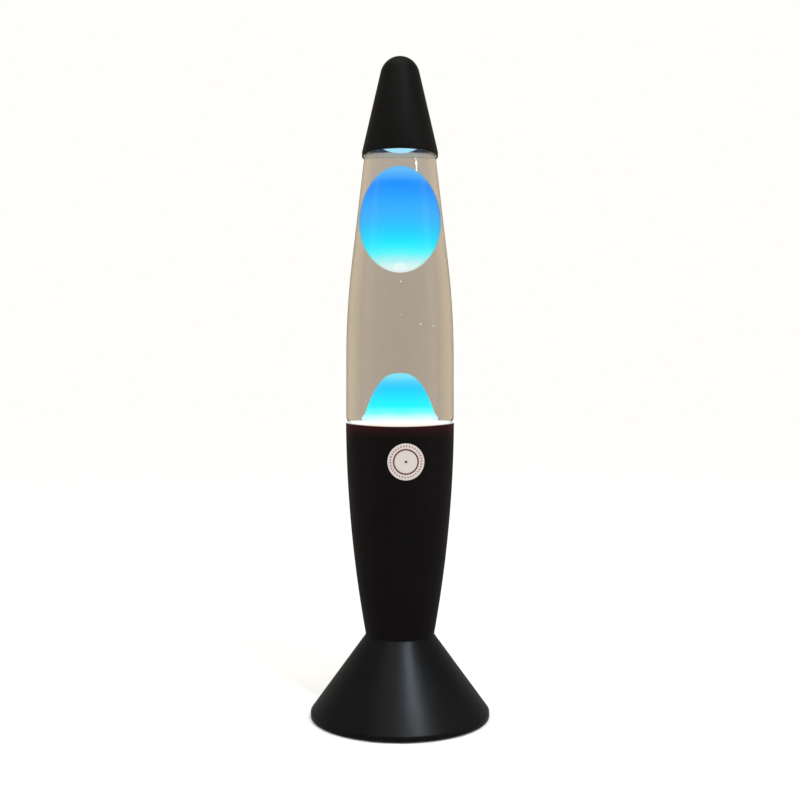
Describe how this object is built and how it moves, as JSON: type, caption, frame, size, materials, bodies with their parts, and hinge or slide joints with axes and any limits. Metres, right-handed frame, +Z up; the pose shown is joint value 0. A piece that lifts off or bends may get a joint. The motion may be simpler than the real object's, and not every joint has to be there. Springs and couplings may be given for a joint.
{
  "type": "lava lamp",
  "caption": "Motion lamp: a globe of clear liquid and drifting blue wax stands in a black tapered cup on a cone base, under a bullet-shaped cap, heated by a small bulb.",
  "frame": {"origin": "on the table under the middle of the base", "axes": "+Z up along the lamp's axis, +Y towards the back, where the cord enters, +X to the right as seen from the front, where the label is"},
  "size_m": [0.0918, 0.0918, 0.34],
  "materials": {
    "black_cone": "satin black powder-like paint on spun aluminium",
    "black_cup": "satin black paint on spun aluminium",
    "black_cap": "satin black paint on drawn aluminium",
    "plate_steel": "black painted pressed steel",
    "zinc_steel": "zinc-plated steel",
    "black_rubber": "matt black rubber",
    "seat_silicone": "translucent white silicone",
    "label_vinyl": null,
    "porcelain": "white glazed porcelain",
    "brass": "plain brass",
    "nickel_shell": "nickel-plated brass",
    "lead_brown": "brown silicone sleeve",
    "lead_blue": "blue silicone sleeve",
    "splice_nylon": "milky nylon",
    "solder": "dull solder",
    "black_glass": "black insulating glass",
    "bulb_glass": "clear thin glass",
    "filament_wire": "tungsten and nickel wire",
    "globe_glass": "clear bottle glass, fire polished",
    "crown_tin": "lacquered tinplate",
    "liner": "soft polymer liner",
    "liquid": "clear liquid with a faint warm tint",
    "blue_wax": "blue translucent wax",
    "coil_steel": "bright spring wire"
  },
  "bodies": {
    "base": {"base_cone": "black_cone", "cord_grommet": "black_rubber", "base_plate": "plate_steel", "plate_brackets": "zinc_steel", "plate_screws": "zinc_steel", "rubber_feet": "black_rubber", "lamp_pipe": "zinc_steel", "pipe_nuts": "zinc_steel", "lock_washer": "zinc_steel", "earth_tag": "brass", "base_cup": "black_cup", "label_disc": "label_vinyl", "globe_seat_ring": "seat_silicone", "holder_bracket": "zinc_steel", "holder_bracket_screws": "zinc_steel", "holder_body": "porcelain", "holder_contact": "brass", "holder_shell": "brass", "holder_terminals": "brass", "holder_terminal_screws": "brass", "lead_live": "lead_brown", "lead_neutral": "lead_blue", "splice_caps": "splice_nylon"},
    "globe": {"globe_glass": "globe_glass", "crown_liner": "liner", "crown_cap": "crown_tin", "wax_pool": "blue_wax", "wax_coil": "coil_steel", "wax_top": "blue_wax", "clear_liquid": "liquid"},
    "drifting_wax": {"wax_blob": "blue_wax"},
    "cap": {"top_cap": "black_cap"},
    "bulb_tip": {"bulb_contact": "solder"},
    "bulb": {"bulb_insulator": "black_glass", "bulb_shell": "nickel_shell", "bulb_glass": "bulb_glass", "bulb_stem": "bulb_glass", "bulb_lead_wires": "filament_wire", "bulb_filament": "filament_wire"}
  },
  "joints": [
    {"name": "globe_lift", "type": "slide", "parent": "base", "child": "globe", "axis": [0, 0, 1], "range_m": [0, 0.075]},
    {"name": "cap_lift", "type": "slide", "parent": "globe", "child": "cap", "axis": [0, 0, 1], "range_m": [0, 0.06]},
    {"name": "wax_drift", "type": "slide", "parent": "globe", "child": "drifting_wax", "axis": [0, 0, 1], "range_m": [-0.048, 0.004], "deforming": ["clear_liquid"]},
    {"name": "bulb_rise", "type": "slide", "parent": "base", "child": "bulb_tip", "axis": [0, 0, 1], "range_m": [0, 0.0127]},
    {"name": "bulb_turn", "type": "hinge", "parent": "bulb_tip", "child": "bulb", "pos_m": [0, 0, 0.06], "axis": [0, 0, 1], "range_deg": [0, 1620]}
  ],
  "couplings": [
    {"joint": "bulb_rise", "follows": "bulb_turn", "m_per_rad": 0.00044914}
  ]
}
